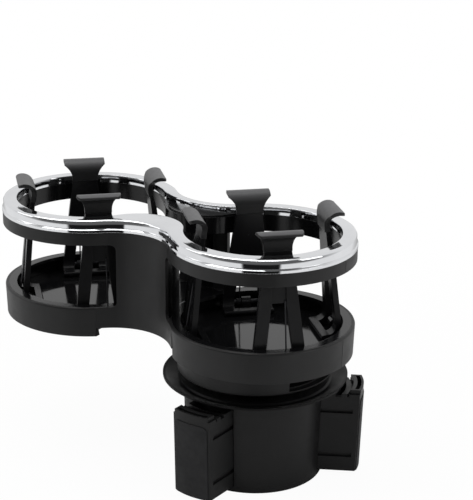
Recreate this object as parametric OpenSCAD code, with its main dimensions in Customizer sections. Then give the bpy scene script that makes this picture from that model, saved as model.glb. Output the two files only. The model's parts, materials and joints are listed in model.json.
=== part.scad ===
// Dual cup holder on an expanding base.
// Origin: centre of the base's underside, on the swivel axis. +X points from the far cup to the cup over the base.

/* [Cups] */
// Distance between the axes of the two cups
cup_pitch = 112; // [106:1:118]
// Outer radius of the rim round each cup
rim_r = 48.8; // [47:0.2:52]
// Width of the rim, from its outer face to the opening
rim_w = 8; // [7:0.5:9]
// Radius of the hollow outline at the waist
waist_r = 31; // [26:1:36]
// Radius of the opening's outline at the waist
channel_r = 24.4; // [22:0.2:30]
// Height of the black band below the trim
band_h = 7; // [6:0.5:10]
// Height of the windows between the trays and the band
window_h = 35; // [28:1:42]
// Radius of the windows' corners
window_round = 3; // [1:0.5:5]
// Length of the waist walls along the long axis
waist_wall_w = 32; // [28:1:38]
// Distance of the base axis from the cup axis above it
base_offset = 3.5; // [0:0.5:6]

/* [Trim] */
// Height of the bright trim
trim_h = 6.8; // [6:0.2:9]
// Distance that the trim's bottom lip stands proud of the band
trim_proud = 0.2; // [0:0.1:0.6]
// Height of the trim's bottom lip
trim_lip_h = 2; // [1.2:0.1:2.6]
// Distance that the tall face stands back from the band
trim_inset = 0.5; // [0.2:0.1:0.8]
// Height of the trim's inner wall
trim_in_h = 4.5; // [3.8:0.1:5.2]
// Thickness of the trim's wall
trim_t = 1.6; // [1.2:0.1:2]

/* [Trays] */
// Height of a tray's outer wall
tray_h = 16.3; // [14:0.1:20]
// Width of the ledge round a tray's well
ledge_w = 6.3; // [5:0.1:7]
// Thickness of the ledge
ledge_t = 2; // [1.5:0.1:3]
// Height of the hollow skirt below a tray's floor
skirt_h = 4.8; // [4:0.1:6]
// Distance from the waist to the step in the skirt
skirt_step = 25; // [24:0.5:28]
// Thickness of the shell's walls
wall_t = 2.2; // [1.8:0.1:2.6]
// Thickness of a tray's floor
floor_t = 1.8; // [1.2:0.1:2.4]
// Width of the shelf under a floor
shelf_w = 2.5; // [1.5:0.5:3.5]

/* [Fingers] */
// Number of grip fingers in each cup
finger_n = 4; // [3:1:4]
// Distance from the rim's outer face to a finger's pin
pivot_in = 9.5; // [9.3:0.1:10.5]
// Height of a finger's pin above the floor
pivot_h = 4.8; // [4.4:0.1:5.4]
// Lean of a finger towards the cup's axis at rest, in degrees
lean = 6; // [5:0.5:7]
// Height of a finger's head above the trim
head_over = 10.3; // [8:0.1:14]
// Width of a finger at its pin
foot_w = 27.2; // [24:0.2:28]
// Width of a finger where it enters its head
neck_w = 13.2; // [12:0.2:15]
// Width of a finger's head
head_w = 23; // [20:0.2:25]
// Depth of a finger's channel section
arm_d = 3; // [2.6:0.1:3.2]
// Radius of a finger's pin
pin_r = 1.25; // [1:0.05:1.5]
// Width of the lug that carries the pin
lug_w = 5; // [4.5:0.5:7]
// Wire diameter of a finger's spring
wire_d = 0.8; // [0.6:0.1:0.9]

/* [Base] */
// Radius of the base at its foot
base_r = 36.6; // [34:0.2:38]
// Distance that the base's radius grows from foot to top
base_flare = 1.4; // [0.6:0.1:2.4]
// Thickness of the bottom cap
cap_t = 2.8; // [2.4:0.1:4]
// Height of the base's ring above the wings
ring_h = 1; // [0.8:0.1:2]
// Number of wings
wing_n = 3; // [3:1:3]
// Direction of the first wing, in degrees from +X
wing_dir = -92.5; // [-110:0.5:-80]
// Height of a wing's block
wing_h = 44.2; // [38:0.2:50]
// Width of a wing
wing_w = 22.6; // [20:0.2:24]
// Length of a wing that stays inside the base when it is fully out
wing_hold = 6.9; // [6.9:0.1:14]
// Height of the raised loop on a wing's top
loop_h = 2.2; // [1:0.1:3]
// Height of a guide groove in a wing's side
groove_h = 2.4; // [1.8:0.1:3]
// Thickness of a wing's grip pad
pad_t = 1.6; // [1.2:0.1:2]
// Travel of a wing for a full turn of the collar
scroll_lead = 60; // [50:1:60]
// Radius of a wing's drive pin
drive_r = 2; // [1.6:0.1:2.4]

/* [Collar and neck] */
// Radius of the collar's lip
lip_r = 49; // [46:0.5:52]
// Thickness of the collar's wall
collar_t = 1.4; // [1.2:0.1:1.8]
// Height of the lip above the collar's floor
lip_rise = 1.4; // [0.4:0.1:3]
// Depth of the scroll grooves
scroll_d = 1.8; // [1.4:0.1:2]
// Outer radius of the neck
neck_r = 41.4; // [40:0.2:43]
// Height of the neck
neck_h = 10.9; // [10:0.1:16]
// Height of the slot at the top of the neck
neck_slot_h = 9.4; // [4:0.1:10]
// Half of the arc that the neck's slot covers, in degrees
neck_slot_arc = 33; // [20:1:45]
// Radius of the swivel bolt
bolt_r = 3; // [2.5:0.1:3.5]

/* [Clearances] */
// Gap between sliding faces
slide_gap = 0.3; // [0.25:0.05:0.4]
// Gap round a running pin or shaft
run_gap = 0.06; // [0.03:0.01:0.1]
// Gap between pieces that are fixed together
seat_gap = 0.05; // [0.03:0.01:0.1]
// Open space between the neck and the collar
neck_gap = 4.2; // [3:0.1:5]

/* [Hidden] */
$fn = 96;
SIDES = ["left", "right"];
FINGERS = [for (s = SIDES, i = [1:finger_n]) str("finger_", s, "_", i)];
HEADS = [for (s = SIDES, i = [1:finger_n]) str("head_", s, "_", i)];
SPRINGS = [for (s = SIDES, i = [1:finger_n]) str("spring_", s, "_", i)];
WINGS = [for (i = [1:wing_n]) str("wing_", i)];
PADS = [for (i = [1:wing_n]) str("wing_pad_", i)];
far = 200;
over = 1;

// Heights, from the underside of the bottom cap upwards
z_wing0 = cap_t + slide_gap;
z_wing1 = z_wing0 + wing_h;
z_loop1 = z_wing1 + loop_h;
z_ring0 = z_loop1 + slide_gap;
z_ring1 = z_ring0 + ring_h;
z_plate0 = z_loop1 + slide_gap;
z_flange0 = z_ring1 + slide_gap;
z_flange1 = z_flange0 + collar_t;
z_lip = z_flange1 + lip_rise;
z_neck0 = z_flange1 + neck_gap;
z_neck1 = z_neck0 + neck_h;
z_floor0 = z_neck1 + skirt_h;
z_floor1 = z_floor0 + floor_t;
z_ledge = z_neck1 + tray_h;
z_band0 = z_ledge + window_h;
z_band1 = z_band0 + band_h;
z_top = z_band1 + trim_h;

// Plan of the two cups
cup_x = [base_offset - cup_pitch, base_offset];
mid_x = base_offset - cup_pitch / 2;
open_r = rim_r - rim_w;
function waist_y(r, f) = sqrt(pow(r + f, 2) - pow(cup_pitch / 2, 2));
well_r = rim_r - wall_t;
base_top_r = base_r + base_flare;

// Outline round both cups at a radius, with hollow waists of another radius
module eight(r, f) {
    y = waist_y(r, f);
    for (x = cup_x) translate([x, 0]) circle(r);
    difference() {
        polygon([[cup_x[0], 0], [mid_x, y], [cup_x[1], 0], [mid_x, -y]]);
        for (s = [-1, 1]) translate([mid_x, s * y]) circle(f);
    }
}

module outline(inset = 0) {
    eight(rim_r - inset, waist_r + inset);
}

module openings(grow = 0) {
    eight(open_r + grow, channel_r - grow);
}

// Solid of the eight outline whose flank follows [inset, height] points
waist_lap = 0.02;

module eight_solid(flank) {
    first = flank[0][1];
    last = flank[len(flank) - 1][1];
    r = waist_r + waist_lap;
    y = waist_y(rim_r, waist_r);
    for (x = cup_x) translate([x, 0, 0]) rotate_extrude()
        polygon(concat([[0, first]], [for (p = flank) [rim_r - p[0], p[1]]], [[0, last]]));
    difference() {
        translate([0, 0, first]) linear_extrude(last - first)
            polygon([[cup_x[0], 0], [mid_x, y], [cup_x[1], 0], [mid_x, -y]]);
        for (s = [-1, 1]) translate([mid_x, s * y, 0]) rotate_extrude()
            polygon(concat([[0, first - over], [r + flank[0][0], first - over]],
                           [for (p = flank) [r + p[0], p[1]]],
                           [[r + flank[len(flank) - 1][0], last + over], [0, last + over]]));
    }
}

// Holder shell
tongue_h = 3;
edge = 0.9;
plate_hole_r = neck_r - 13.4;
screw_ring = neck_r - 8.4;
screw_dirs = [0, 100, 260];
screw_r = 1.5;
shelf_t = 1.6;
wall_draft = 0.5;
bridge_drop = 0.3;
seam_w = 0.3;
seam_d = 0.7;

// Narrow parting line at the outer end of each cup
module seams(low, high, depth) {
    for (k = [0, 1]) translate([cup_x[k] + (2 * k - 1) * (rim_r + over - depth), 0, (low + high) / 2])
        cube([2 * over, seam_w, high - low], center = true);
}

module tray(x) {
    translate([x, 0, 0]) rotate_extrude() polygon([
        [rim_r - wall_draft, z_neck1], [rim_r, z_ledge - edge], [rim_r - 0.3 * edge, z_ledge - 0.3 * edge],
        [rim_r - edge, z_ledge], [rim_r - ledge_w, z_ledge], [rim_r - ledge_w, z_ledge - ledge_t],
        [well_r, z_ledge - ledge_t], [well_r, z_floor0], [well_r - shelf_w, z_floor0],
        [well_r - shelf_w, z_floor0 - shelf_t], [well_r, z_floor0 - shelf_t], [well_r - wall_draft, z_neck1]]);
}

module tray_plate() {
    translate([0, 0, z_neck1]) linear_extrude(floor_t) difference() {
        translate([cup_x[1], 0]) circle(well_r);
        circle(plate_hole_r);
        for (a = screw_dirs) rotate(a) translate([screw_ring, 0]) circle(screw_r + seat_gap);
    }
}

module rim_band() {
    translate([0, 0, z_band0]) linear_extrude(band_h - wall_t) difference() {
        outline();
        outline(wall_t);
    }
    translate([0, 0, z_band0]) linear_extrude(band_h - wall_t) difference() {
        openings(wall_t);
        openings();
    }
    translate([0, 0, z_band1 - wall_t]) linear_extrude(wall_t) difference() {
        outline();
        openings();
    }
    translate([0, 0, z_band1]) linear_extrude(trim_h - trim_in_h - seat_gap) difference() {
        outline(trim_t + seat_gap);
        openings();
    }
    translate([0, 0, z_band1]) linear_extrude(tongue_h) difference() {
        outline(trim_t + seat_gap);
        openings(trim_t + seat_gap);
    }
}

// Bridge between the two trays, just below their ledges
module waist_bridge() {
    translate([0, 0, z_ledge - ledge_t - bridge_drop]) linear_extrude(ledge_t) difference() {
        intersection() {
            outline(wall_t / 2);
            translate([mid_x - skirt_step, -far / 2]) square([2 * skirt_step, far]);
        }
        for (x = cup_x) translate([x, 0]) circle(rim_r - ledge_w / 2);
    }
}

// The window's end in the waist wall, with its two rounded corners
module window_end() {
    h = z_band0 - z_ledge;
    translate([waist_wall_w / 2, 0]) {
        translate([window_round, 0]) square([far, h]);
        translate([0, window_round]) square([window_round + over, h - 2 * window_round]);
        for (y = [window_round, h - window_round]) translate([window_round, y]) circle(window_round);
    }
}

module waist_walls() {
    difference() {
        intersection() {
            translate([0, 0, z_floor0]) linear_extrude(z_band0 - z_floor0 + over) difference() {
                outline();
                outline(wall_t);
            }
            translate([mid_x - skirt_step, -far / 2, 0]) cube([2 * skirt_step, far, far]);
        }
        for (s = [0, 1]) translate([mid_x, 0, z_ledge]) mirror([s, 0, 0])
            rotate([90, 0, 0]) linear_extrude(far, center = true) window_end();
    }
}

module holder_shell() {
    color([0.13, 0.13, 0.14]) difference() {
        union() {
            difference() {
                union() {
                    for (x = cup_x) tray(x);
                    tray_plate();
                }
                translate([mid_x - skirt_step, -far / 2, z_neck1 - over])
                    cube([2 * skirt_step, far, skirt_h + over]);
            }
            waist_bridge();
            waist_walls();
            rim_band();
        }
        seams(z_neck1 - over, z_ledge - edge, seam_d);
        seams(z_band0 - over, z_band1 - 0.1, seam_d / 2);
    }
}

// Bright trim, a hollow ring that drops over the band's tongue
module chrome_trim() {
    face_top = z_top - 1.2;
    flank = [
        [-trim_proud, z_band1], [-trim_proud, z_band1 + trim_lip_h - 0.6],
        [trim_inset - 0.15, z_band1 + trim_lip_h - 0.1], [trim_inset, z_band1 + trim_lip_h + 0.1],
        [trim_inset, face_top], [trim_inset + 0.3, z_top - 0.6], [trim_inset + 1, z_top - 0.2],
        [trim_inset + 2.1, z_top]];
    color([0.86, 0.87, 0.88]) difference() {
        eight_solid(flank);
        translate([0, 0, z_band1 - over]) linear_extrude(trim_h + 2 * over) openings();
        translate([0, 0, z_band1 - over]) linear_extrude(trim_h - trim_in_h + over) outline(trim_t);
        translate([0, 0, z_band1]) linear_extrude(trim_h - trim_t) difference() {
            outline(trim_t);
            openings(trim_t);
        }
        seams(z_band1 + trim_lip_h + 0.3, face_top - 0.2, trim_inset + 0.4);
    }
}

// Tray floors, each with a lug for every finger's pin
finger_dirs = [for (i = [0:finger_n - 1]) 45 + i * 360 / finger_n];
pivot_r = rim_r - pivot_in;
pivot_z = z_floor1 + pivot_h;
boss_r = 3;

module at_finger(k, i) {
    translate([cup_x[k], 0, 0]) rotate([0, 0, finger_dirs[i]]) translate([pivot_r, 0, pivot_z]) children();
}

module lug() {
    rotate([90, 0, 0]) linear_extrude(lug_w, center = true) difference() {
        union() {
            circle(boss_r);
            translate([-boss_r, -pivot_h - floor_t / 2]) square([2 * boss_r, pivot_h + floor_t / 2]);
        }
        circle(pin_r + seat_gap);
    }
}

module tray_floor(k) {
    color([0.05, 0.05, 0.055]) {
        translate([cup_x[k], 0, z_floor0]) cylinder(r = well_r - slide_gap, h = floor_t);
        for (i = [0:finger_n - 1]) at_finger(k, i) lug();
    }
}

module pins(k) {
    color([0.7, 0.71, 0.72]) for (i = [0:finger_n - 1]) at_finger(k, i)
        rotate([90, 0, 0]) cylinder(r = pin_r, h = foot_w - 1.4, center = true);
}

// Grip fingers, drawn upright round their pin: X outwards, Y across, Z up the finger
arm_in = -2.2;
arm_out = arm_in + arm_d;
finger_l = (z_top + head_over - pivot_z) / cos(lean);
curl_r = 6.6;
curl_z = finger_l - curl_r;
flare_start = curl_z - 3;
sleeve_z = curl_z - 4.4;
tongue_top = curl_z + 1.5;
tongue_out = -0.6;
tongue_in = arm_in + 0.5;
tongue_half = neck_w / 2 - 0.2;
web_z = 27;
toe_l = 9.5;
toe_t = 2.4;
toe_r = 4.4;
leg_w = 6.4;
web_t = 2;
taper = (foot_w - neck_w) / 2 / (curl_z - 1);
function half_w(z) = foot_w / 2 - taper * z;

// Side view of the arm: tongue, leg, pin boss and the toe that curls in over the floor
module arm_side() {
    difference() {
        union() {
            polygon([
                [arm_in, 0], [arm_out, 0], [arm_out, sleeve_z - 7], [tongue_out + 0.4, sleeve_z],
                [tongue_out, sleeve_z], [tongue_out, tongue_top], [tongue_in, tongue_top],
                [tongue_in, sleeve_z], [arm_in, sleeve_z]]);
            circle(boss_r);
            translate([-toe_l, -boss_r]) square([toe_l, toe_t]);
            translate([-toe_l, toe_t / 2 - boss_r]) circle(toe_t / 2);
            difference() {
                translate([arm_in - toe_r, toe_t - boss_r - 0.1]) square(toe_r + 0.1);
                translate([arm_in - toe_r, toe_t - boss_r + toe_r]) circle(toe_r);
            }
        }
        circle(pin_r + run_gap);
    }
}

module arm_front() {
    low = -boss_r - over;
    polygon([[-half_w(low), low], [half_w(low), low], [half_w(sleeve_z), sleeve_z], [tongue_half, sleeve_z],
             [tongue_half, tongue_top], [-tongue_half, tongue_top], [-tongue_half, sleeve_z],
             [-half_w(sleeve_z), sleeve_z]]);
}

// The gap between the two legs, below the web
module leg_gap() {
    low = -boss_r - over;
    polygon([[leg_w - half_w(low), low], [half_w(low) - leg_w, low],
             [half_w(web_z) - leg_w, web_z - 1], [half_w(web_z) - leg_w - 1, web_z],
             [leg_w + 1 - half_w(web_z), web_z], [leg_w - half_w(web_z), web_z - 1]]);
}

// The hollow in the arm's outer face, above the web's lower edge
module web_hollow() {
    high = sleeve_z - 5;
    polygon([[leg_w - half_w(web_z), web_z - over], [half_w(web_z) - leg_w, web_z - over],
             [half_w(high) - 4, high], [4 - half_w(high), high]]);
}

module finger_arm() {
    difference() {
        intersection() {
            rotate([90, 0, 0]) linear_extrude(foot_w + 2, center = true) arm_side();
            rotate([90, 0, 90]) linear_extrude(4 * toe_l, center = true) arm_front();
        }
        translate([-toe_l + 3, 0, 0]) rotate([90, 0, 90]) linear_extrude(far) leg_gap();
        translate([arm_in + web_t, 0, 0]) rotate([90, 0, 90]) linear_extrude(far) web_hollow();
    }
}

// Head of a finger: a sleeve that curls outwards over the trim and spreads into a fan
head_in = -2.8;
head_out = 0;
curl_x = head_in + curl_r;
tip_angle = 58;
curl_hole_r = 4.3;
tip_r = 0.92;
fan_r = 9;
fan_corner = 2;

module curl_side() {
    translate([head_in, sleeve_z]) square([head_out - head_in, curl_z - sleeve_z]);
    intersection() {
        difference() {
            translate([curl_x, curl_z]) circle(curl_r);
            translate([head_out + curl_hole_r, curl_z + 0.2]) circle(curl_hole_r);
        }
        polygon([[head_in - over, curl_z], [curl_x, curl_z],
                 [curl_x + 2 * curl_r * cos(tip_angle), curl_z + 2 * curl_r * sin(tip_angle)],
                 [head_in - over, curl_z + 2 * curl_r]]);
    }
    translate([curl_x + (curl_r - tip_r) * cos(tip_angle), curl_z + (curl_r - tip_r) * sin(tip_angle)])
        circle(tip_r);
}

module head_front() {
    half = neck_w / 2 + 0.6;
    translate([-half, sleeve_z]) square([2 * half, flare_start - sleeve_z + 0.1]);
    difference() {
        translate([-head_w / 2, flare_start]) square([head_w, finger_l - flare_start + over]);
        for (s = [-1, 1]) translate([s * (half + fan_r), flare_start]) circle(fan_r);
    }
}

module head_plan() {
    tip_x = curl_x + (curl_r - tip_r) * cos(tip_angle) + tip_r;
    half = head_w / 2;
    translate([head_in - over, -half]) square([tip_x - fan_corner - head_in + over, head_w]);
    translate([head_in - over, fan_corner - half]) square([tip_x + over - head_in, head_w - 2 * fan_corner]);
    for (s = [-1, 1]) translate([tip_x - fan_corner, s * (half - fan_corner)]) circle(fan_corner);
}

module finger_head() {
    difference() {
        intersection() {
            rotate([90, 0, 0]) linear_extrude(head_w, center = true) curl_side();
            rotate([90, 0, 90]) linear_extrude(4 * curl_r, center = true) head_front();
            translate([0, 0, sleeve_z - over]) linear_extrude(finger_l) head_plan();
        }
        translate([tongue_in - seat_gap, -tongue_half - seat_gap, sleeve_z - over])
            cube([tongue_out - tongue_in + 2 * seat_gap, 2 * (tongue_half + seat_gap),
                  tongue_top - sleeve_z + over + seat_gap]);
    }
}

// Torsion spring beside the lug: a close coil, one end up to the web and one out to the wall
coil_y = lug_w / 2 + slide_gap;
coil_in = pin_r + run_gap;
coil_out = coil_in + wire_d;
coil_n = 3;
spring_up = web_z + 1.5;
spring_out = 6.4;

module finger_spring() {
    mid = coil_in + wire_d / 2;
    leg = mid + 0.13;
    translate([0, coil_y, 0]) rotate([-90, 0, 0]) rotate_extrude() polygon(concat(
        [[coil_in, 0], [mid, 0]],
        [for (j = [0:coil_n - 1], k = [1, 3, 4]) [k < 4 ? coil_out : mid, wire_d * (j + k / 4)]],
        [[coil_in, wire_d * coil_n]]));
    translate([leg, coil_y + 0.55 * wire_d, -0.2]) rotate([0, -3, 0])
        cylinder(d = wire_d, h = spring_up, $fn = 24);
    translate([-0.2, coil_y + wire_d * (coil_n - 0.55), -leg]) rotate([0, 90, 0])
        cylinder(d = wire_d, h = spring_out, $fn = 24);
}

module finger(k, i) {
    color([0.06, 0.06, 0.065]) at_finger(k, i) rotate([0, -lean, 0]) finger_arm();
}

module head(k, i) {
    color([0.27, 0.27, 0.28]) at_finger(k, i) rotate([0, -lean, 0]) finger_head();
}

module spring(k, i) {
    color([0.75, 0.76, 0.77]) at_finger(k, i) rotate([0, -lean, 0]) finger_spring();
}

// Neck under the right cup, which turns on the bolt
neck_floor_t = 2.2;
hub_r = 10;
hub_top = z_neck0 + neck_floor_t + 2.1;
post_r = 4;
screw_up = 3.4;

module swivel_neck() {
    inner = neck_r - wall_t;
    color([0.13, 0.13, 0.14]) {
        difference() {
            rotate_extrude() polygon([
                [bolt_r + run_gap, z_flange1 + slide_gap], [hub_r, z_flange1 + slide_gap], [hub_r, z_neck0],
                [neck_r - 0.8, z_neck0], [neck_r, z_neck0 + 0.8], [neck_r, z_neck1], [inner, z_neck1],
                [inner, z_neck0 + neck_floor_t], [hub_r, z_neck0 + neck_floor_t], [hub_r, hub_top],
                [bolt_r + run_gap, hub_top]]);
            translate([0, 0, z_neck1 - neck_slot_h]) linear_extrude(neck_slot_h + over) difference() {
                polygon(concat([[0, 0]],
                               [for (i = [-3:3]) let (a = neck_slot_arc * i / 3) 1.5 * neck_r * [cos(a), sin(a)]]));
                circle(inner - over);
            }
        }
        for (a = screw_dirs) rotate([0, 0, a]) translate([screw_ring, 0, z_neck0 + neck_floor_t - 0.1])
            difference() {
                cylinder(r = post_r, h = neck_h - neck_floor_t + 0.1);
                translate([0, 0, screw_up - 0.4]) cylinder(r = screw_r + seat_gap, h = neck_h);
            }
        // The wall rises behind the step in the trays' skirt
        intersection() {
            translate([0, 0, z_neck1 - over]) linear_extrude(skirt_h + over - slide_gap) difference() {
                circle(neck_r);
                circle(inner);
            }
            translate([-far, -far / 2, 0]) cube([far + mid_x + skirt_step - slide_gap, far, far]);
        }
    }
}

module neck_screws() {
    color([0.75, 0.76, 0.77]) for (a = screw_dirs) rotate([0, 0, a]) translate([screw_ring, 0, 0]) {
        translate([0, 0, z_neck0 + neck_floor_t + screw_up])
            cylinder(r = screw_r, h = neck_h - neck_floor_t - screw_up + floor_t);
        translate([0, 0, z_neck1 + floor_t]) cylinder(r = 2 * screw_r, h = 1.8);
    }
}

// Bolt, washer and nut that hold neck, collar and base together
washer_t = 1.5;
nut_h = 4.5;
bolt_head_h = 3;
bolt_sink = 0.6;

module swivel_bolt() {
    color([0.75, 0.76, 0.77]) {
        translate([0, 0, bolt_sink]) cylinder(r = 1.8 * bolt_r, h = bolt_head_h);
        translate([0, 0, bolt_sink + bolt_head_h])
            cylinder(r = bolt_r, h = hub_top + slide_gap + washer_t + nut_h + 1 - bolt_sink - bolt_head_h);
    }
}

module swivel_washer() {
    color([0.75, 0.76, 0.77]) translate([0, 0, hub_top + slide_gap]) difference() {
        cylinder(r = 2.7 * bolt_r, h = washer_t);
        translate([0, 0, -over]) cylinder(r = bolt_r + seat_gap, h = washer_t + 2 * over);
    }
}

module swivel_nut() {
    color([0.75, 0.76, 0.77]) translate([0, 0, hub_top + slide_gap + washer_t]) difference() {
        cylinder(r = 1.92 * bolt_r, h = nut_h, $fn = 6);
        translate([0, 0, -over]) cylinder(r = bolt_r + seat_gap, h = nut_h + 2 * over);
    }
}

// Collar: a dish that turns on the base and carries the scroll grooves on its underside
spigot_r = 5;
plate_r = base_top_r - 2.4;
tube_r = 6.4;
wing_in = tube_r + 3.1;
drive_in = wing_in + 2.3;
face_gap = 0.2;
wing_out = base_r - face_gap - wing_in - wing_hold;
groove_play = 2;
lead = scroll_lead / 360;
flare_n = 8;
flare_in = base_top_r + slide_gap + collar_t;

function flare_z(r) = z_ring0 + slide_gap
    + (z_lip - collar_t - z_ring0) * pow((r - flare_in) / (lip_r - flare_in), 1.6);
function flare(r0) = [for (i = [0:flare_n]) let (r = r0 + (lip_r - r0) * i / flare_n) [r, flare_z(r)]];

// Point of a scroll groove, at a radius from the axis and a distance to one side
function scroll_point(a, side) = let (
    r = drive_in + wing_out + lead * a,
    k = lead * 180 / PI,
    t = [k * cos(-a) + r * sin(-a), k * sin(-a) - r * cos(-a)],
    n = [-t[1], t[0]] / norm(t)) r * [cos(-a), sin(-a)] + side * n;

module scroll_groove() {
    low = -wing_out / lead - groove_play;
    high = groove_play;
    w = drive_r + 2 * run_gap;
    step = (high - low) / 24;
    polygon(concat([for (a = [low:step:high + 0.01]) scroll_point(a, w)],
                   [for (a = [high:-step:low - 0.01]) scroll_point(a, -w)]));
    for (a = [low, high]) translate(scroll_point(a, 0)) circle(w + run_gap);
}

module collar() {
    bore = spigot_r + run_gap;
    color([0.09, 0.09, 0.095]) difference() {
        rotate_extrude() polygon(concat(
            [[bore, z_plate0], [plate_r, z_plate0], [plate_r, z_flange0], [flare_in - collar_t, z_flange0],
             [flare_in - collar_t, z_ring0 + slide_gap]],
            flare(flare_in), [[lip_r, z_lip]],
            [for (i = [flare_n:-1:1]) let (r = flare_in + (lip_r - collar_t - flare_in) * i / flare_n)
                [r, flare_z(r) + collar_t]],
            [[flare_in, z_flange1], [bore, z_flange1]]));
        for (i = [0:wing_n - 1]) rotate([0, 0, wing_dir + i * 360 / wing_n])
            translate([0, 0, z_plate0 - over]) linear_extrude(scroll_d + over) scroll_groove();
    }
}

// Base: a tapered cup with a slot for each wing, guide cheeks and ribs inside
cheek_t = 1.8;
cheek_in = base_r - 18.6;
rib_w = 1.1;
rib_in = base_r - 14.6;
groove_end = base_r - 4.1;
groove_zs = [z_wing0 + 0.21 * wing_h, z_wing0 + 0.78 * wing_h];
boss_ring = base_r - 6.6;
boss_h = 11;
screw_head_h = 1.5;
screw_sink = 0.4;

module base_cone(inset) {
    translate([0, 0, cap_t]) cylinder(r1 = base_r - inset, r2 = base_top_r - inset, h = z_ring1 - cap_t);
}

module base_shell() {
    slot_w = wing_w + 2 * slide_gap;
    color([0.12, 0.12, 0.125]) difference() {
        union() {
            difference() {
                base_cone(0);
                translate([0, 0, cap_t - over]) cylinder(r = base_r - wall_t, h = 2 * over);
                translate([0, 0, cap_t])
                    cylinder(r1 = base_r - wall_t, r2 = base_top_r - wall_t, h = z_ring0 - cap_t);
                translate([0, 0, z_ring0 - over]) cylinder(r = plate_r + slide_gap, h = ring_h + 2 * over);
            }
            intersection() {
                base_cone(0.5);
                for (i = [0:wing_n - 1]) rotate([0, 0, wing_dir + i * 360 / wing_n])
                    for (s = [0, 1]) mirror([0, s, 0]) cheek(slot_w / 2);
            }
            for (i = [0:wing_n - 1]) rotate([0, 0, wing_dir + (i + 0.5) * 360 / wing_n]) screw_boss();
        }
        for (i = [0:wing_n - 1]) rotate([0, 0, wing_dir + i * 360 / wing_n])
            translate([rib_in - over, -slot_w / 2, cap_t - over]) difference() {
                cube([far, slot_w, z_ring0 - cap_t + over]);
                for (y = [0, slot_w - rib_w], z = groove_zs)
                    translate([0, y - over, z - cap_t + over - groove_h / 2 + slide_gap])
                        cube([groove_end - rib_in - slide_gap + over, rib_w + over, groove_h - 2 * slide_gap]);
            }
    }
}

// One guide cheek beside a slot, with its two ribs
module cheek(y) {
    translate([cheek_in, y, cap_t]) cube([base_r, cheek_t, z_ring0 - cap_t]);
    for (z = groove_zs) translate([rib_in, y - rib_w, z - groove_h / 2 + slide_gap])
        cube([groove_end - rib_in - slide_gap, rib_w + 0.1, groove_h - 2 * slide_gap]);
}

module screw_boss() {
    translate([boss_ring, 0, cap_t]) difference() {
        union() {
            cylinder(r = 3.4, h = boss_h);
            translate([0, -1, 0]) cube([base_r - wall_t / 2 - boss_ring, 2, boss_h]);
        }
        translate([0, 0, -over]) cylinder(r = screw_r + seat_gap, h = boss_h - 1);
    }
}

module bottom_cap() {
    foot_r = tube_r + 2.1;
    color([0.1, 0.1, 0.105]) difference() {
        union() {
            cylinder(r = base_r - 0.1, h = cap_t);
            cylinder(r = foot_r, h = 6);
            cylinder(r = tube_r, h = z_plate0 - slide_gap);
            cylinder(r = spigot_r, h = z_flange1);
        }
        translate([0, 0, -over]) cylinder(r = bolt_r + seat_gap, h = far);
        translate([0, 0, -over]) cylinder(r = 1.8 * bolt_r + 0.3, h = bolt_sink + bolt_head_h + over);
        for (i = [0:wing_n - 1]) rotate([0, 0, wing_dir + (i + 0.5) * 360 / wing_n]) translate([boss_ring, 0, 0]) {
            translate([0, 0, -over]) cylinder(r = screw_r + seat_gap, h = 2 * cap_t);
            translate([0, 0, -over]) cylinder(r = 2 * screw_r + seat_gap, h = over + screw_sink + screw_head_h);
        }
    }
}

module cap_screws() {
    color([0.75, 0.76, 0.77]) for (i = [0:wing_n - 1]) rotate([0, 0, wing_dir + (i + 0.5) * 360 / wing_n])
        translate([boss_ring, 0, 0]) {
            translate([0, 0, screw_sink]) cylinder(r = 2 * screw_r, h = screw_head_h);
            translate([0, 0, screw_sink + screw_head_h]) cylinder(r = screw_r, h = boss_h - 2);
        }
}

// Wings, drawn closed and moved out along +X by the distance at rest
side_t = 2.4;
loop_r = base_top_r - face_gap;
loop_w = 5.4;
loop_wall = 1.3;
loop_slot = 2.1;
loop_slot_h = 3;
end_wall = 1;
rib_t = 2.8;
pocket_w = 2.8;
notch_h = 1.6;
pad_margin = 1.2;
pad_drop = 3.1;
pad_round = 3;
pad_proud = 0.4;
groove_d = rib_w + slide_gap;

module arc_band(r0, r1, half) {
    intersection() {
        difference() {
            circle(r1);
            circle(r0);
        }
        translate([0, -half]) square([far, 2 * half]);
    }
}

module pad_shape(grow, depth) {
    half = wing_w / 2 - pad_margin + grow;
    low = z_wing0 - 20 * grow;
    high = z_wing1 - pad_drop + grow;
    intersection() {
        difference() {
            base_cone(face_gap - pad_proud);
            base_cone(face_gap + depth);
        }
        rotate([90, 0, 90]) linear_extrude(far) {
            translate([-half, low]) square([2 * half, high - pad_round - low]);
            translate([pad_round - half, low]) square([2 * (half - pad_round), high - low]);
            for (s = [-1, 1]) translate([s * (half - pad_round), high - pad_round]) circle(pad_round);
        }
    }
}

// Arc-shaped hollow between two distances in from the loop's outer face
module wing_pocket(d0, d1, low, half) {
    translate([0, 0, low]) linear_extrude(far) arc_band(loop_r - d1, loop_r - d0, half);
}

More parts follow.
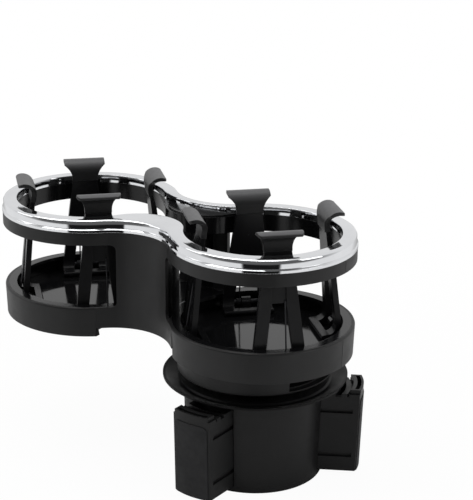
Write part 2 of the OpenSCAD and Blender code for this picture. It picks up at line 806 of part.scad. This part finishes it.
module wing() {
    half = wing_w / 2;
    pocket = half - side_t;
    rib0 = loop_w + end_wall;
    rib1 = rib0 + rib_t;
    translate([wing_out, 0, 0]) difference() {
        union() {
            intersection() {
                base_cone(face_gap);
                union() {
                    translate([wing_in, -half, z_wing0]) cube([far, wing_w, wing_h]);
                    translate([0, 0, z_wing1 - over]) linear_extrude(loop_h + over)
                        arc_band(loop_r - loop_w, loop_r + over, half - end_wall);
                }
            }
            translate([drive_in, 0, z_wing1 - over])
                cylinder(r = drive_r, h = z_plate0 + scroll_d - slide_gap - z_wing1 + over);
        }
        wing_pocket(loop_wall, loop_wall + loop_slot, z_wing1 - loop_slot_h, pocket);
        wing_pocket(loop_w, rib0, z_wing1 - notch_h, half + over);
        wing_pocket(rib1, rib1 + pocket_w, z_wing0 + 3, pocket);
        wing_pocket(rib1, rib1 + pocket_w, z_wing1 - notch_h, half + over);
        wing_pocket(rib1 + pocket_w + end_wall, rib1 + pocket_w + end_wall + 2 * pocket_w, z_wing0 + 3, pocket);
        translate([0, 0, z_wing0 - over]) linear_extrude(wing_h - 5)
            arc_band(loop_r - rib1 + 1, loop_r - loop_w + end_wall, pocket);
        for (s = [-1, 1], z = groove_zs) translate([0, s * half - groove_d, z - groove_h / 2])
            cube([groove_end, 2 * groove_d, groove_h]);
        pad_shape(seat_gap, pad_t - pad_proud + seat_gap);
    }
}

module wing_pad() {
    translate([wing_out, 0, 0]) pad_shape(0, pad_t - pad_proud);
}

module at_wing(i) {
    rotate([0, 0, wing_dir + i * 360 / wing_n]) children();
}

holder_shell();
chrome_trim();
tray_floor(0);  // left_floor
tray_floor(1);  // right_floor
pins(0);  // left_pins
pins(1);  // right_pins
for (k = [0, 1], i = [0:finger_n - 1]) {
    finger(k, i);
    head(k, i);
    spring(k, i);
}
swivel_neck();
neck_screws();
swivel_nut();
swivel_washer();
swivel_bolt();
collar();
base_shell();
bottom_cap();
cap_screws();
for (i = [0:wing_n - 1]) {
    color([0.12, 0.12, 0.125]) at_wing(i) wing();
    color([0.17, 0.17, 0.175]) at_wing(i) wing_pad();
}
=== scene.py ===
"""Looks for the dual cup holder, round the CAD frame: materials, trim, waist column, studio and camera."""

import json
import math

import bpy
from mathutils import Matrix, Vector

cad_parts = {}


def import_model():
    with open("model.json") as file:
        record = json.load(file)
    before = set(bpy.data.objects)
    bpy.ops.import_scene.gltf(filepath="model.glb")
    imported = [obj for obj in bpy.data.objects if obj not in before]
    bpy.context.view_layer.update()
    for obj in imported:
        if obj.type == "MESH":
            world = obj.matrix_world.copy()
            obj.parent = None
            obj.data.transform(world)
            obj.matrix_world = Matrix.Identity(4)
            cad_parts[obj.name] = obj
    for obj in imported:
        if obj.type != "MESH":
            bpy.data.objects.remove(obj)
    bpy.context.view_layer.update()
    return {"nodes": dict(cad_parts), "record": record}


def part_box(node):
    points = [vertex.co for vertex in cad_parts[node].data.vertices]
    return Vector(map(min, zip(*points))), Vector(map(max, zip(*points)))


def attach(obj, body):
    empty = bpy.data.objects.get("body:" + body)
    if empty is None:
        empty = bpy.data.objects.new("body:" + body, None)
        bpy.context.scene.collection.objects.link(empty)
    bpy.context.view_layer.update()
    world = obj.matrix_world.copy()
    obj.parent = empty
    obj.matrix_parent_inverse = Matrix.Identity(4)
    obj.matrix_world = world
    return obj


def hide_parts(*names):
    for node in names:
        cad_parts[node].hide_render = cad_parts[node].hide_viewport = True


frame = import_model()
nodes = frame["nodes"]

# Lengths are in metres.
MM = 0.001

# Plan of the holder: two cups on the X axis, with a waist arc on each side between them. The wall's thickness
# and the waist's radius are the source's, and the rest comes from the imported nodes.
floor_low, floor_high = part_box("right_floor")
trim_low, trim_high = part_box("chrome_trim")
WALL = 2.2 * MM
WAIST_R = 31 * MM
RIM_R = trim_high.y
RIGHT_X = trim_high.x - RIM_R
LEFT_X = trim_low.x + RIM_R
MID_X = (RIGHT_X + LEFT_X) / 2
HALF_PITCH = (RIGHT_X - LEFT_X) / 2
WAIST_Y = math.sqrt((RIM_R + WAIST_R) ** 2 - HALF_PITCH ** 2)

# The part of a noise's range that is spread over a colour or a roughness.
NOISE_LOW = 0.3
NOISE_HIGH = 0.7
NOISE_ROUGHNESS = 0.55
BEVEL_SAMPLES = 4
IOR = 1.46

# A Mix node's inputs A and B and its result, by index.
MIX_SOCKETS = {"FLOAT": (2, 3, 0), "RGBA": (6, 7, 2)}


class Tree:
    """Short forms for building a node tree."""

    def __init__(self, tree):
        self.t = tree

    def node(self, kind, **values):
        """A new node with its settings and input values by name."""
        n = self.t.nodes.new(kind)
        for name, value in values.items():
            if hasattr(n, name):
                setattr(n, name, value)
            else:
                n.inputs[name.replace("_", " ")].default_value = value
        return n

    def link(self, a, b):
        self.t.links.new(a, b)

    def feed(self, value, socket):
        """Sets a socket to a number, or links another socket to it."""
        if isinstance(value, (int, float)):
            socket.default_value = value
        else:
            self.link(value, socket)

    def math(self, operation, a, b):
        n = self.node("ShaderNodeMath", operation=operation)
        self.feed(a, n.inputs[0])
        self.feed(b, n.inputs[1])
        return n.outputs[0]

    def ramp(self, value, low, high, at_low=0.0, at_high=1.0, smooth=False):
        """A slope from at_low, where the value is low or less, to at_high, where it is high or more."""
        n = self.node("ShaderNodeMapRange", From_Min=low, From_Max=high, To_Min=at_low, To_Max=at_high)
        n.interpolation_type = "SMOOTHSTEP" if smooth else "LINEAR"
        self.link(value, n.inputs["Value"])
        return n.outputs["Result"]

    def pick(self, factor, a, b):
        """a where the factor is 0, b where it is 1."""
        n = self.node("ShaderNodeMix", data_type="FLOAT")
        in_a, in_b, out = MIX_SOCKETS["FLOAT"]
        self.feed(factor, n.inputs[0])
        self.feed(a, n.inputs[in_a])
        self.feed(b, n.inputs[in_b])
        return n.outputs[out]

    def length(self, vector):
        n = self.node("ShaderNodeVectorMath", operation="LENGTH")
        self.link(vector, n.inputs[0])
        return n.outputs["Value"]

    def height(self, vector):
        """The Z of a vector."""
        n = self.node("ShaderNodeSeparateXYZ")
        self.link(vector, n.inputs[0])
        return n.outputs["Z"]

    def coordinate(self, name):
        return self.node("ShaderNodeTexCoord").outputs[name]


class Mat(Tree):
    """A Principled material whose detail is made in object space, in metres."""

    def __init__(self, name, specular=0.5, metallic=0.0, soft_edge=None):
        self.m = bpy.data.materials.new(name)
        self.m.use_nodes = True
        super().__init__(self.m.node_tree)
        self.b = self.t.nodes["Principled BSDF"]
        self.b.inputs["Metallic"].default_value = metallic
        self.b.inputs["IOR"].default_value = IOR
        self.b.inputs["Specular IOR Level"].default_value = specular
        self.place = self.coordinate("Object")
        self.normal = None
        if soft_edge:
            self.set_normal(self.node("ShaderNodeBevel", samples=BEVEL_SAMPLES, Radius=soft_edge))

    def set_normal(self, node):
        self.normal = node.outputs["Normal"]
        self.link(self.normal, self.b.inputs["Normal"])

    def noise(self, size, detail, stretch=None):
        """Noise whose grains are about size metres across."""
        n = self.node("ShaderNodeTexNoise", Scale=1 / size, Detail=detail, Roughness=NOISE_ROUGHNESS)
        source = self.place
        if stretch:
            mapping = self.node("ShaderNodeMapping")
            mapping.inputs["Scale"].default_value = stretch
            self.link(source, mapping.inputs["Vector"])
            source = mapping.outputs["Vector"]
        self.link(source, n.inputs["Vector"])
        return n.outputs["Fac"]

    def tint(self, size, detail, dark, light):
        """Colour that drifts between dark and light. Their mean is the socket's own value under the link."""
        middle = [(a + b) / 2 for a, b in zip(dark, light)]
        self.b.inputs["Base Color"].default_value = (*middle, 1)
        ramp = self.node("ShaderNodeValToRGB")
        for stop, position, color in zip(ramp.color_ramp.elements, (NOISE_LOW, NOISE_HIGH), (dark, light)):
            stop.position = position
            stop.color = (*color, 1)
        self.link(self.noise(size, detail), ramp.inputs["Fac"])
        self.link(ramp.outputs["Color"], self.b.inputs["Base Color"])

    def gloss(self, size, detail, low, high):
        """Roughness that drifts between low and high. Their mean is the socket's own value under the link."""
        self.b.inputs["Roughness"].default_value = (low + high) / 2
        rough = self.ramp(self.noise(size, detail), NOISE_LOW, NOISE_HIGH, low, high)
        self.link(rough, self.b.inputs["Roughness"])

    def grain(self, size, detail, depth, stretch=None):
        """Bumps of a depth in metres, on top of the soft edge where there is one."""
        n = self.node("ShaderNodeBump", Strength=1.0, Distance=depth)
        self.link(self.noise(size, detail, stretch), n.inputs["Height"])
        if self.normal is not None:
            self.link(self.normal, n.inputs["Normal"])
        self.set_normal(n)

    def distance(self, x, y):
        """Distance from an upright axis."""
        flat = self.node("ShaderNodeVectorMath", operation="MULTIPLY_ADD")
        flat.inputs[1].default_value = (1, 1, 0)
        flat.inputs[2].default_value = (-x, -y, 0)
        self.link(self.place, flat.inputs[0])
        return self.length(flat.outputs["Vector"])

    def blend(self, mask, name, kind, inside):
        """Turns a linked socket, through a Mix node of a kind, to inside as the mask goes from 0 to 1."""
        outside = self.b.inputs[name].links[0].from_socket
        n = self.node("ShaderNodeMix", data_type=kind)
        in_a, in_b, out = MIX_SOCKETS[kind]
        self.link(mask, n.inputs[0])
        self.link(outside, n.inputs[in_a])
        n.inputs[in_b].default_value = inside
        self.link(n.outputs[out], self.b.inputs[name])


# How far a satin black drifts from its tone and its roughness.
SATIN_DARK = (0.88, 0.88, 0.90)
SATIN_LIGHT = (1.12, 1.12, 1.15)
SMOOTHER = 0.04
ROUGHER = 0.05


def satin_black(name, tone, rough, specular):
    """Moulded black plastic with a fine spark-eroded grain."""
    m = Mat(name, specular=specular, soft_edge=0.35 * MM)
    dark = [tone * share for share in SATIN_DARK]
    light = [tone * share for share in SATIN_LIGHT]
    m.tint(size=35 * MM, detail=2, dark=dark, light=light)
    m.gloss(size=6 * MM, detail=4, low=rough - SMOOTHER, high=rough + ROUGHER)
    m.grain(size=0.22 * MM, detail=2, depth=0.008 * MM)
    return m


# How near a polished wall's surface counts as on it, the walls' colour inside the cups, darker than the
# shell's as painted shade, and their polished roughness.
POLISH_EDGE = 0.1 * MM
INSIDE_PAINTED_SHADE_COLOR = (0.0045, 0.0045, 0.005, 1)
POLISHED_ROUGH = 0.16


def polish_and_shade_inside(m):
    """The mould's core is polished, so the shell's walls are glossy where they face the cups. They are also
    painted darker there: painted shade inside the cups.
    """
    near = m.math("MINIMUM", m.distance(RIGHT_X, 0), m.distance(LEFT_X, 0))
    in_cup = m.math("LESS_THAN", near, RIM_R - WALL + POLISH_EDGE)
    waist = m.math("MINIMUM", m.distance(MID_X, WAIST_Y), m.distance(MID_X, -WAIST_Y))
    in_waist = m.math("GREATER_THAN", waist, WAIST_R + WALL - POLISH_EDGE)
    between = m.math("LESS_THAN", m.distance(MID_X, 0), WAIST_Y - WAIST_R)
    above = m.math("GREATER_THAN", m.height(m.place), floor_low.z)
    inside = m.math("MAXIMUM", in_cup, m.math("MULTIPLY", in_waist, between))
    mask = m.math("MULTIPLY", inside, above)
    # Painted shade: the walls inside the cups and the waist get a darker colour.
    m.blend(mask, "Base Color", "RGBA", INSIDE_PAINTED_SHADE_COLOR)
    m.blend(mask, "Roughness", "FLOAT", POLISHED_ROUGH)


shell = satin_black("shell_satin_black", tone=0.0125, rough=0.42, specular=0.35)
polish_and_shade_inside(shell)
base = satin_black("base_satin_black", tone=0.0080, rough=0.40, specular=0.28)
# The collar's black is darker than the base's: painted shade in its dish under the holder.
collar = satin_black("collar_painted_shade_black", tone=0.0045, rough=0.36, specular=0.14)

tray_floor = Mat("floor_gloss_black", specular=0.45)
tray_floor.gloss(size=12 * MM, detail=5, low=0.05, high=0.11)
tray_floor.tint(size=30 * MM, detail=2, dark=(0.005, 0.005, 0.0055), light=(0.008, 0.008, 0.0085))
tray_floor.grain(size=20 * MM, detail=1, depth=0.02 * MM)

arm = Mat("arm_gloss_black", specular=0.22, soft_edge=0.4 * MM)
arm.gloss(size=8 * MM, detail=4, low=0.18, high=0.28)
arm.tint(size=30 * MM, detail=2, dark=(0.0055, 0.0055, 0.006), light=(0.0078, 0.0078, 0.0084))
arm.grain(size=4 * MM, detail=2, depth=0.008 * MM)

# The heads' tops are painted paler than their sides: a painted highlight where the light falls from above.
HEAD_TOP_PAINTED_LIGHT = (0.070, 0.070, 0.073, 1)
HEAD_SIDE_FACING = 0.3
HEAD_TOP_FACING = 0.95
head = Mat("head_soft_black", specular=0.5, soft_edge=0.9 * MM)
head.tint(size=12 * MM, detail=3, dark=(0.0075, 0.0075, 0.008), light=(0.0105, 0.0105, 0.011))
head.gloss(size=2 * MM, detail=4, low=0.36, high=0.46)
head.b.inputs["Sheen Weight"].default_value = 0.08
head.b.inputs["Sheen Roughness"].default_value = 0.5
# Painted highlight: the base colour turns paler as a face turns upwards.
facing_up = head.ramp(head.height(head.coordinate("Normal")), HEAD_SIDE_FACING, HEAD_TOP_FACING)
head.blend(facing_up, "Base Color", "RGBA", HEAD_TOP_PAINTED_LIGHT)
head.grain(size=0.28 * MM, detail=2, depth=0.014 * MM)

pad = Mat("pad_rubber", specular=0.3, soft_edge=0.5 * MM)
pad.tint(size=10 * MM, detail=3, dark=(0.011, 0.011, 0.012), light=(0.018, 0.018, 0.019))
pad.gloss(size=3 * MM, detail=4, low=0.56, high=0.70)
pad.grain(size=0.4 * MM, detail=2, depth=0.02 * MM)

chrome = Mat("trim_chrome", metallic=1.0, soft_edge=0.3 * MM)
chrome.gloss(size=10 * MM, detail=4, low=0.035, high=0.09)
chrome.tint(size=20 * MM, detail=3, dark=(0.77, 0.78, 0.80), light=(0.84, 0.85, 0.87))
chrome.grain(size=18 * MM, detail=2, depth=0.03 * MM)

dark_steel = Mat("steel_oiled_dark", specular=0.4, metallic=0.75)
dark_steel.gloss(size=2 * MM, detail=4, low=0.30, high=0.46)
dark_steel.tint(size=4 * MM, detail=3, dark=(0.028, 0.028, 0.030), light=(0.046, 0.046, 0.049))
dark_steel.grain(size=0.6 * MM, detail=2, depth=0.01 * MM)

steel = Mat("steel_bright", metallic=1.0)
steel.gloss(size=2 * MM, detail=4, low=0.24, high=0.40)
steel.tint(size=4 * MM, detail=3, dark=(0.46, 0.46, 0.47), light=(0.58, 0.58, 0.59))
steel.grain(size=0.6 * MM, detail=2, depth=0.01 * MM, stretch=(1, 1, 8))

# The column is glossy, and its black is darker than the shell's outside: painted shade, as on the walls
# inside the cups.
column = Mat("column_shaded_gloss_black", specular=0.3)
column.gloss(size=10 * MM, detail=4, low=0.16, high=0.28)
column.tint(size=30 * MM, detail=2, dark=(0.0038, 0.0038, 0.0042), light=(0.0054, 0.0054, 0.0058))
column.grain(size=15 * MM, detail=2, depth=0.02 * MM)

SLOT_LOOK = {"shell": shell, "trim": chrome, "floor": tray_floor, "arm": arm, "head": head, "base": base,
             "pad": pad, "steel": steel}


def look_of(node, slot):
    """A node's material: its slot's, apart from the oiled springs and pins and the collar, whose darker black
    is painted shade.
    """
    if node.startswith("spring_") or node.endswith("_pins"):
        return dark_steel
    if node == "collar":
        return collar
    return SLOT_LOOK[slot]


for part in frame["record"]["subparts"]:
    mesh = nodes[part["node"]].data
    mesh.materials.clear()
    mesh.materials.append(look_of(part["node"], part["material_slot"]).m)


# The rim band's radius, which the trim stands proud of, and the radius of the trim's opening round each cup.
TRIM_PROUD = 0.2 * MM
BAND_R = RIM_R - TRIM_PROUD
OPEN_R = 40.8 * MM

# How far from the X axis the opening's edge passes at the waist, in front and behind.
FRONT_GAP = 9.0 * MM
BACK_GAP = 20.0 * MM

# Points on each cup's arc and on each waist arc of an outline.
CUP_STEPS = 112
WAIST_STEPS = 36

# Steps round the trim's section, in mm: how far each lies in from the rim band's outside, or out from the
# opening, and how far below the top.
TRIM_OUTSIDE = ((-0.2, 6.8), (-0.2, 5.4), (0.35, 4.9), (0.5, 4.7), (0.5, 1.2), (0.8, 0.6), (1.5, 0.2),
                (2.6, 0), (3.1, 0))
TRIM_INSIDE = ((1.2, 0), (0.7, 0), (0.2, 0.2), (0, 0.7), (0, 4.5), (1.6, 4.5), (1.6, 1.6))
TRIM_UNDER = ((1.6, 1.6), (1.6, 6.8))


def waist_radius(gap):
    """Radius of the waist arc that touches both openings and passes a gap from the middle."""
    return (HALF_PITCH ** 2 + gap ** 2 - OPEN_R ** 2) / (2 * (OPEN_R - gap))


def arc(cx, cy, r, start, end, n):
    """Points along an arc, without its last one."""
    step = (end - start) / n
    return [(cx + r * math.cos(start + step * i), cy + r * math.sin(start + step * i)) for i in range(n)]


def eight(cup_r, front_r, back_r):
    """Outline round both cups, anticlockwise, with a waist arc on each side."""
    front = math.acos(HALF_PITCH / (cup_r + front_r))
    back = math.acos(HALF_PITCH / (cup_r + back_r))
    front_y = -(cup_r + front_r) * math.sin(front)
    back_y = (cup_r + back_r) * math.sin(back)
    return (arc(RIGHT_X, 0, cup_r, front - math.pi, math.pi - back, CUP_STEPS)
            + arc(MID_X, back_y, back_r, -back, back - math.pi, WAIST_STEPS)
            + arc(LEFT_X, 0, cup_r, back, 2 * math.pi - front, CUP_STEPS)
            + arc(MID_X, front_y, front_r, math.pi - front, front, WAIST_STEPS))


def outer_loop(inset, drop):
    """The rim band's outline, moved in by inset and down from the trim's top by drop, in mm."""
    z = trim_high.z - drop * MM
    waist_r = WAIST_R + inset * MM
    return [(x, y, z) for x, y in eight(BAND_R - inset * MM, waist_r, waist_r)]


def inner_loop(grow, drop):
    """The opening's outline, moved out by grow and down from the trim's top by drop, in mm."""
    z = trim_high.z - drop * MM
    front_r = waist_radius(FRONT_GAP) - grow * MM
    back_r = waist_radius(BACK_GAP) - grow * MM
    return [(x, y, z) for x, y in eight(OPEN_R + grow * MM, front_r, back_r)]


# Edges that turn by more than this stay sharp.
SHARP_ANGLE = math.radians(28)


def solid(name, points, faces, look):
    """A closed mesh that rides on the holder, shaded smooth but for its sharp edges."""
    me = bpy.data.meshes.new(name)
    me.from_pydata(points, [], faces)
    me.validate()
    me.shade_smooth()
    me.set_sharp_from_angle(angle=SHARP_ANGLE)
    me.materials.append(look.m)
    o = bpy.data.objects.new(name, me)
    bpy.context.scene.collection.objects.link(o)
    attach(o, "holder")
    return o


def bright_trim():
    """Bright trim whose inner edge runs wide of the waist in front and close to its outer edge behind."""
    loops = [outer_loop(*step) for step in TRIM_OUTSIDE]
    loops += [inner_loop(*step) for step in TRIM_INSIDE]
    loops += [outer_loop(*step) for step in TRIM_UNDER]
    n = len(loops[0])
    faces = []
    for k in range(len(loops)):
        a = k * n
        b = (k + 1) % len(loops) * n
        faces += [(a + i, a + (i + 1) % n, b + (i + 1) % n, b + i) for i in range(n)]
    o = solid("bright_trim", [v for loop in loops for v in loop], faces, chrome)
    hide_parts("chrome_trim")


# The column's half width, lower and upper end, the radius of its sides and how near it comes to the X axis.
COLUMN_HALF = 15.6 * MM
COLUMN_LOW = floor_high.z + 1.5 * MM
COLUMN_HIGH = trim_low.z - 0.4 * MM
COLUMN_SIDE_R = BAND_R - WALL + 0.3 * MM
COLUMN_BACK_Y = FRONT_GAP + 0.3 * MM
COLUMN_STEPS = 16


def waist_column():
    """Closed moulded column behind the front waist wall: its sides follow the cups' circles."""
    wall_r = WAIST_R + WALL / 2
    half = math.asin(COLUMN_HALF / wall_r)
    front = arc(MID_X, -WAIST_Y, wall_r, math.pi / 2 - half, math.pi / 2 + half, COLUMN_STEPS)
    front.append((MID_X - COLUMN_HALF, front[0][1]))
    side_x = HALF_PITCH - COLUMN_HALF
    corner = math.acos(side_x / COLUMN_SIDE_R)
    back = math.asin(COLUMN_BACK_Y / COLUMN_SIDE_R)
    right = arc(RIGHT_X, 0, COLUMN_SIDE_R, math.pi + back, math.pi + corner, COLUMN_STEPS)
    right.append((RIGHT_X - side_x, -COLUMN_SIDE_R * math.sin(corner)))
    left = [(2 * MID_X - x, y) for x, y in reversed(right)]
    plan = front + left + right
    n = len(plan)
    points = [(x, y, z) for z in (COLUMN_LOW, COLUMN_HIGH) for x, y in plan]
    faces = [(i, (i + 1) % n, n + (i + 1) % n, n + i) for i in range(n)]
    faces += [tuple(reversed(range(n))), tuple(range(n, 2 * n))]
    solid("waist_column", points, faces, column)


bright_trim()
waist_column()


# The room that glossy rays see is bright behind the object and dim over the camera, and a dark spot lies
# below the horizon towards the camera. Azimuths are about Z from +X.
DARK_AZIMUTH = math.radians(-59.5)
DARK_HALF = math.radians(20.5)
DARK_SOFT = math.radians(4)
ROOM_BACK = 0.80
ROOM_FRONT = 0.12
ROOM_FLOOR = 0.85
ROOM_FLOOR_BACK = 0.45
ROOM_DARK = 0.01
ROOM_FILL = 0.42

# Cosines of the angle from the dark spot's azimuth, and the heights between which floor turns to wall.
WALL_BACK_COS = -0.35
WALL_FRONT_COS = 0.55
FLOOR_BACK_COS = -0.95
FLOOR_SIDE_COS = -0.70
HORIZON_LOW = -0.06
HORIZON_HIGH = 0.02


def world():
    """A pale room: white to the camera, shaded to glossy rays, even to all others."""
    w = bpy.data.worlds.new("studio")
    bpy.context.scene.world = w
    w.use_nodes = True
    t = Tree(w.node_tree)
    path = t.node("ShaderNodeLightPath")
    seen = t.math("MAXIMUM", path.outputs["Is Camera Ray"], path.outputs["Is Transmission Ray"])
    ray = t.coordinate("Generated")
    flat = t.node("ShaderNodeVectorMath", operation="MULTIPLY")
    flat.inputs[1].default_value = (1, 1, 0)
    t.link(ray, flat.inputs[0])
    level = t.node("ShaderNodeVectorMath", operation="NORMALIZE")
    t.link(flat.outputs["Vector"], level.inputs[0])
    towards = t.node("ShaderNodeVectorMath", operation="DOT_PRODUCT")
    towards.inputs[1].default_value = (math.cos(DARK_AZIMUTH), math.sin(DARK_AZIMUTH), 0)
    t.link(level.outputs["Vector"], towards.inputs[0])
    ahead = towards.outputs["Value"]
    above = t.ramp(ahead, WALL_BACK_COS, WALL_FRONT_COS, ROOM_BACK, ROOM_FRONT)
    pale = t.ramp(ahead, FLOOR_BACK_COS, FLOOR_SIDE_COS, ROOM_FLOOR_BACK, ROOM_FLOOR)
    dark = t.ramp(ahead, math.cos(DARK_HALF + DARK_SOFT), math.cos(DARK_HALF), smooth=True)
    below = t.pick(dark, pale, ROOM_DARK)
    room = t.pick(t.ramp(t.height(ray), HORIZON_LOW, HORIZON_HIGH, smooth=True), below, above)
    lit = t.pick(path.outputs["Is Glossy Ray"], ROOM_FILL, room)
    background = w.node_tree.nodes["Background"]
    background.inputs["Color"].default_value = (1, 1, 1, 1)
    t.link(t.pick(seen, lit, 1.0), background.inputs["Strength"])


# Half the floor's side, how far it lies below the object, and its paint.
FLOOR_HALF = 3.0
FLOOR_DROP = 0.3 * MM
FLOOR_COLOR = (0.86, 0.86, 0.86, 1)
FLOOR_ROUGH = 0.9
FLOOR_SPECULAR = 0.1

# How white the floor is to the camera near the object, and the distances over which that turns to white.
FLOOR_WHITE = 0.96
WHITE_FROM = 0.08
WHITE_TO = 0.45

# The distances over which the floor opens to the room for glossy rays.
OPEN_FROM = 0.17
OPEN_TO = 0.24


def floor_plane():
    """Pale floor with the object's shadow. Past its middle, glossy rays go through it to the room."""
    me = bpy.data.meshes.new("floor")
    s = FLOOR_HALF
    me.from_pydata([(-s, -s, 0), (s, -s, 0), (s, s, 0), (-s, s, 0)], [], [(0, 1, 2, 3)])
    o = bpy.data.objects.new("floor", me)
    bpy.context.scene.collection.objects.link(o)
    o.location.z = -FLOOR_DROP
    m = bpy.data.materials.new("pale_floor")
    m.use_nodes = True
    t = Tree(m.node_tree)
    paint = m.node_tree.nodes["Principled BSDF"]
    paint.inputs["Base Color"].default_value = FLOOR_COLOR
    paint.inputs["Roughness"].default_value = FLOOR_ROUGH
    paint.inputs["Specular IOR Level"].default_value = FLOOR_SPECULAR
    glow = t.node("ShaderNodeEmission", Color=(1, 1, 1, 1))
    clear = t.node("ShaderNodeBsdfTransparent")
    path = t.node("ShaderNodeLightPath")
    away = t.length(t.coordinate("Object"))
    seen = t.math("MAXIMUM", path.outputs["Is Camera Ray"], path.outputs["Is Transmission Ray"])
    white = t.math("MULTIPLY", seen, t.ramp(away, WHITE_FROM, WHITE_TO, FLOOR_WHITE, 1.0))
    opened = t.math("MULTIPLY", path.outputs["Is Glossy Ray"], t.ramp(away, OPEN_FROM, OPEN_TO, smooth=True))
    lit = t.node("ShaderNodeMixShader")
    t.link(white, lit.inputs["Fac"])
    t.link(paint.outputs["BSDF"], lit.inputs[1])
    t.link(glow.outputs["Emission"], lit.inputs[2])
    end = t.node("ShaderNodeMixShader")
    t.link(opened, end.inputs["Fac"])
    t.link(lit.outputs["Shader"], end.inputs[1])
    t.link(clear.outputs["BSDF"], end.inputs[2])
    t.link(end.outputs["Shader"], m.node_tree.nodes["Material Output"].inputs["Surface"])
    me.materials.append(m)


# Each lamp's name, place, width and height in metres, and watts.
LAMPS = (("key_top", (-0.35, -0.1, 1.35), (1.1, 1.1), 9.0),
         ("fill_right", (1.25, 0.05, 0.75), (0.7, 0.9), 4.0),
         ("fill_left", (-1.2, -0.75, 0.7), (0.7, 0.9), 2.2))
LAMP_AIM = Vector((-0.03, 0.0, 0.09))


def lamp(name, place, size, watts):
    """A soft rectangular lamp that faces the object."""
    light = bpy.data.lights.new(name, "AREA")
    light.shape = "RECTANGLE"
    light.size, light.size_y = size
    light.energy = watts
    o = bpy.data.objects.new(name, light)
    o.location = place
    o.rotation_euler = (LAMP_AIM - Vector(place)).to_track_quat("-Z", "Y").to_euler()
    bpy.context.scene.collection.objects.link(o)


# The camera that was fitted to the photograph: its focal length and the frame's long side in pixels.
FOCAL_PX = 1433.2
LONG_SIDE_PX = 500.0
SENSOR_MM = 36.0
CAMERA_PLACE = Vector((0.3724, -0.5946, 0.3569))
CAMERA_FORWARD = Vector((-0.5151, 0.7956, -0.3188))
CAMERA_RIGHT = Vector((0.8394, 0.5435, 0.0))
CAMERA_ROLL = -0.0101
CLIP_NEAR = 0.05
CLIP_FAR = 50


def camera():
    """The camera at the photograph's viewing angle."""
    cam = bpy.data.cameras.new("camera")
    o = bpy.data.objects.new("camera", cam)
    bpy.context.scene.collection.objects.link(o)
    bpy.context.scene.camera = o
    cam.sensor_width = SENSOR_MM
    cam.lens = SENSOR_MM * FOCAL_PX / LONG_SIDE_PX
    cam.clip_start = CLIP_NEAR
    cam.clip_end = CLIP_FAR
    forward = CAMERA_FORWARD.normalized()
    level = CAMERA_RIGHT.normalized()
    upright = level.cross(forward)
    right = level * math.cos(CAMERA_ROLL) - upright * math.sin(CAMERA_ROLL)
    up = level * math.sin(CAMERA_ROLL) + upright * math.cos(CAMERA_ROLL)
    turn = Matrix((right, up, -forward)).transposed()
    o.matrix_world = Matrix.Translation(CAMERA_PLACE) @ turn.to_4x4()


world()
floor_plane()
for settings in LAMPS:
    lamp(*settings)
camera()
bpy.context.scene.view_settings.view_transform = "Standard"
